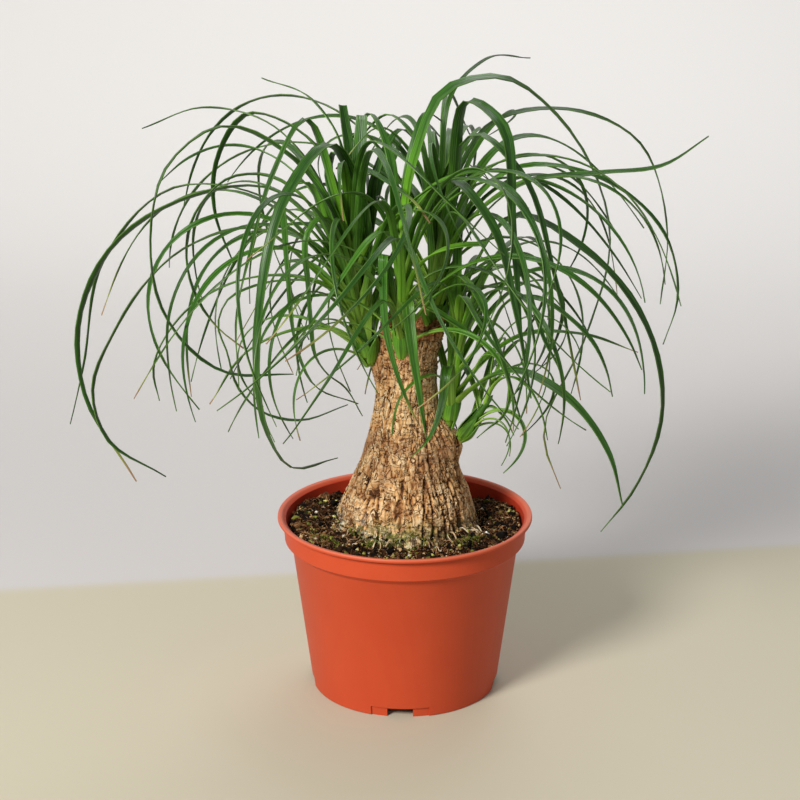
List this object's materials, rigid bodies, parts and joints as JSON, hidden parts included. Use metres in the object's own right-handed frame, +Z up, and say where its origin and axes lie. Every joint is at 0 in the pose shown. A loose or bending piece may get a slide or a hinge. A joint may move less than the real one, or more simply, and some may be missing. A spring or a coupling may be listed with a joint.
{
  "type": "potted ponytail palm",
  "caption": "Ponytail palm in a round nursery pot: a swollen corky trunk, cut across at the top, carries leafy shoots of long arching strap leaves above dark soil.",
  "frame": {"origin": "centre of the pot's underside, on the surface that the pot stands on", "axes": "+Z up, -Y towards the side that shows the cut top and the open front of the crown, +X to that view's right"},
  "size_m": [0.408, 0.3538, 0.4041],
  "materials": {
    "pot_plastic": "satin terracotta",
    "potting_mix": "crumbly, moist",
    "bark": "corky, fissured",
    "leaf": "semi-gloss, fine parallel veins"
  },
  "bodies": {
    "root": {"pot": "pot_plastic", "soil": "potting_mix", "trunk": "bark", "shoot_left": "leaf", "shoot_front": "leaf", "shoot_crown": "leaf", "shoot_right": "leaf", "shoot_low": "leaf"}
  },
  "joints": []
}
